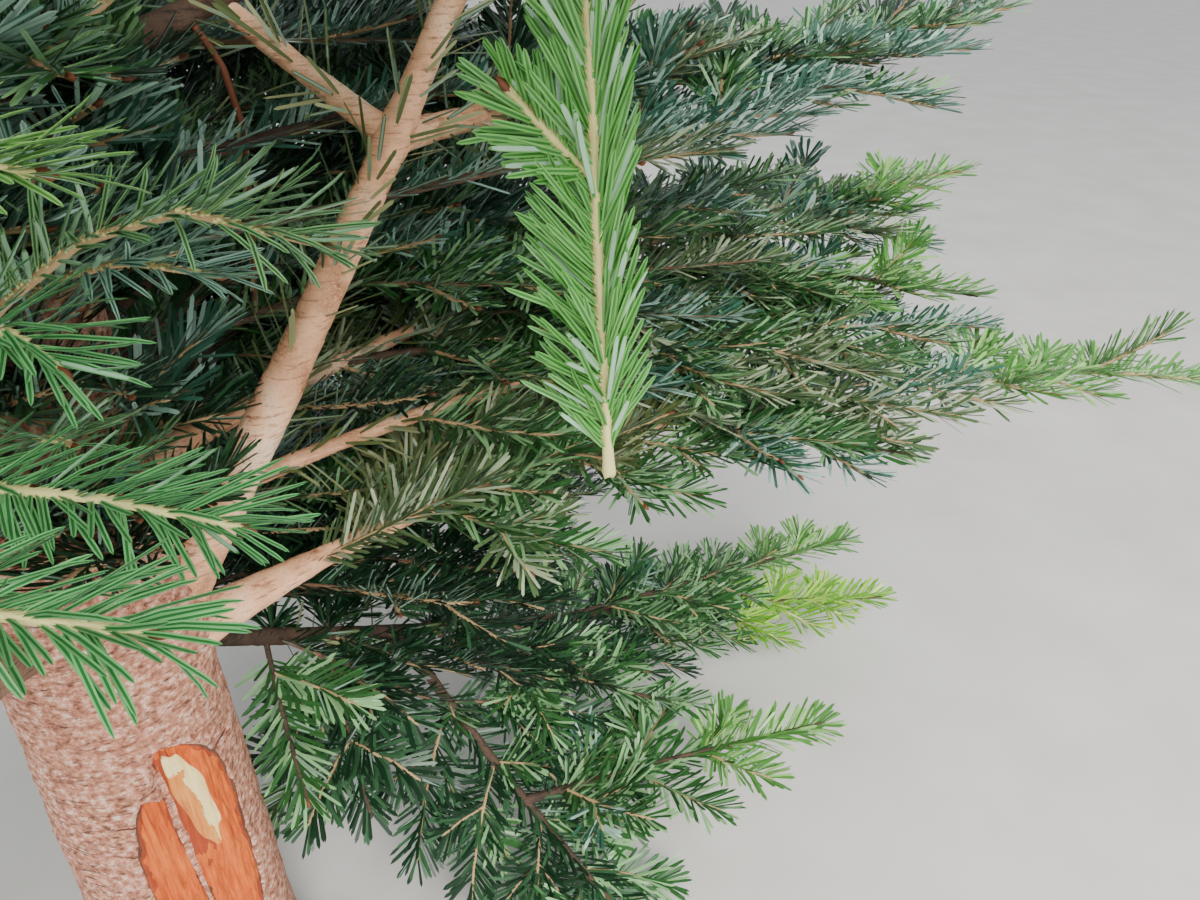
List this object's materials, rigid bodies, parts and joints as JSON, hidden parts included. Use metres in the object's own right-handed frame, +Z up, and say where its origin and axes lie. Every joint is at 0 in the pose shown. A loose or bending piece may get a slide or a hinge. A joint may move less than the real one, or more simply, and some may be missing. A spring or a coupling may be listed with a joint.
{
  "type": "cut fir christmas tree in a stand",
  "caption": "Cut fir Christmas tree, cone-shaped, with a bare lower trunk, open low boughs and flat sprays of needles, upright in a small three-legged stand",
  "frame": {"origin": "On the flat underside of the stand's cup, under the trunk's axis", "axes": "+Z up along the trunk; +Y away from the viewer, level; +X to the viewer's right"},
  "size_m": [1.5132, 1.4836, 2.148],
  "materials": {
    "trunk_bark": "rough bark",
    "bough_bark": "smooth bark",
    "foliage": "needles",
    "stand_steel": "painted",
    "screw_steel": "zinc plated"
  },
  "bodies": {
    "root": {"bough_behind": "bough_bark", "bough_drooping": "bough_bark", "bough_fork_left": "bough_bark", "bough_fork_right": "bough_bark", "bough_ground_arm": "bough_bark", "bough_low_right": "bough_bark", "bough_mid_right": "bough_bark", "bough_near_left": "bough_bark", "bough_north_west": "bough_bark", "bough_second_1": "bough_bark", "bough_second_2": "bough_bark", "bough_second_3": "bough_bark", "bough_south": "bough_bark", "bough_south_west": "bough_bark", "bough_steep": "bough_bark", "bough_upper_left": "bough_bark", "bough_west": "bough_bark", "hanging_sprig": "foliage", "mass_behind": "foliage", "mass_drooping": "foliage", "mass_fifth": "foliage", "mass_fork_left": "foliage", "mass_fork_right": "foliage", "mass_fourth_1": "foliage", "mass_fourth_2": "foliage", "mass_fourth_3": "foliage", "mass_fourth_4": "foliage", "mass_fourth_5": "foliage", "mass_ground_arm": "foliage", "mass_leader": "foliage", "mass_low_right": "foliage", "mass_mid_right": "foliage", "mass_near_left": "foliage", "mass_north_west": "foliage", "mass_second_1": "foliage", "mass_second_2": "foliage", "mass_second_3": "foliage", "mass_second_back_1": "foliage", "mass_second_back_2": "foliage", "mass_seventh": "foliage", "mass_sixth": "foliage", "mass_south": "foliage", "mass_south_west": "foliage", "mass_steep": "foliage", "mass_third_1": "foliage", "mass_third_2": "foliage", "mass_third_3": "foliage", "mass_third_4": "foliage", "mass_third_5": "foliage", "mass_upper_left": "foliage", "mass_west": "foliage", "stand_cup": "stand_steel", "stand_leg_1": "stand_steel", "stand_leg_2": "stand_steel", "stand_leg_3": "stand_steel", "stand_screw_1": "screw_steel", "stand_screw_2": "screw_steel", "stand_screw_3": "screw_steel", "trunk": "trunk_bark"}
  },
  "joints": []
}
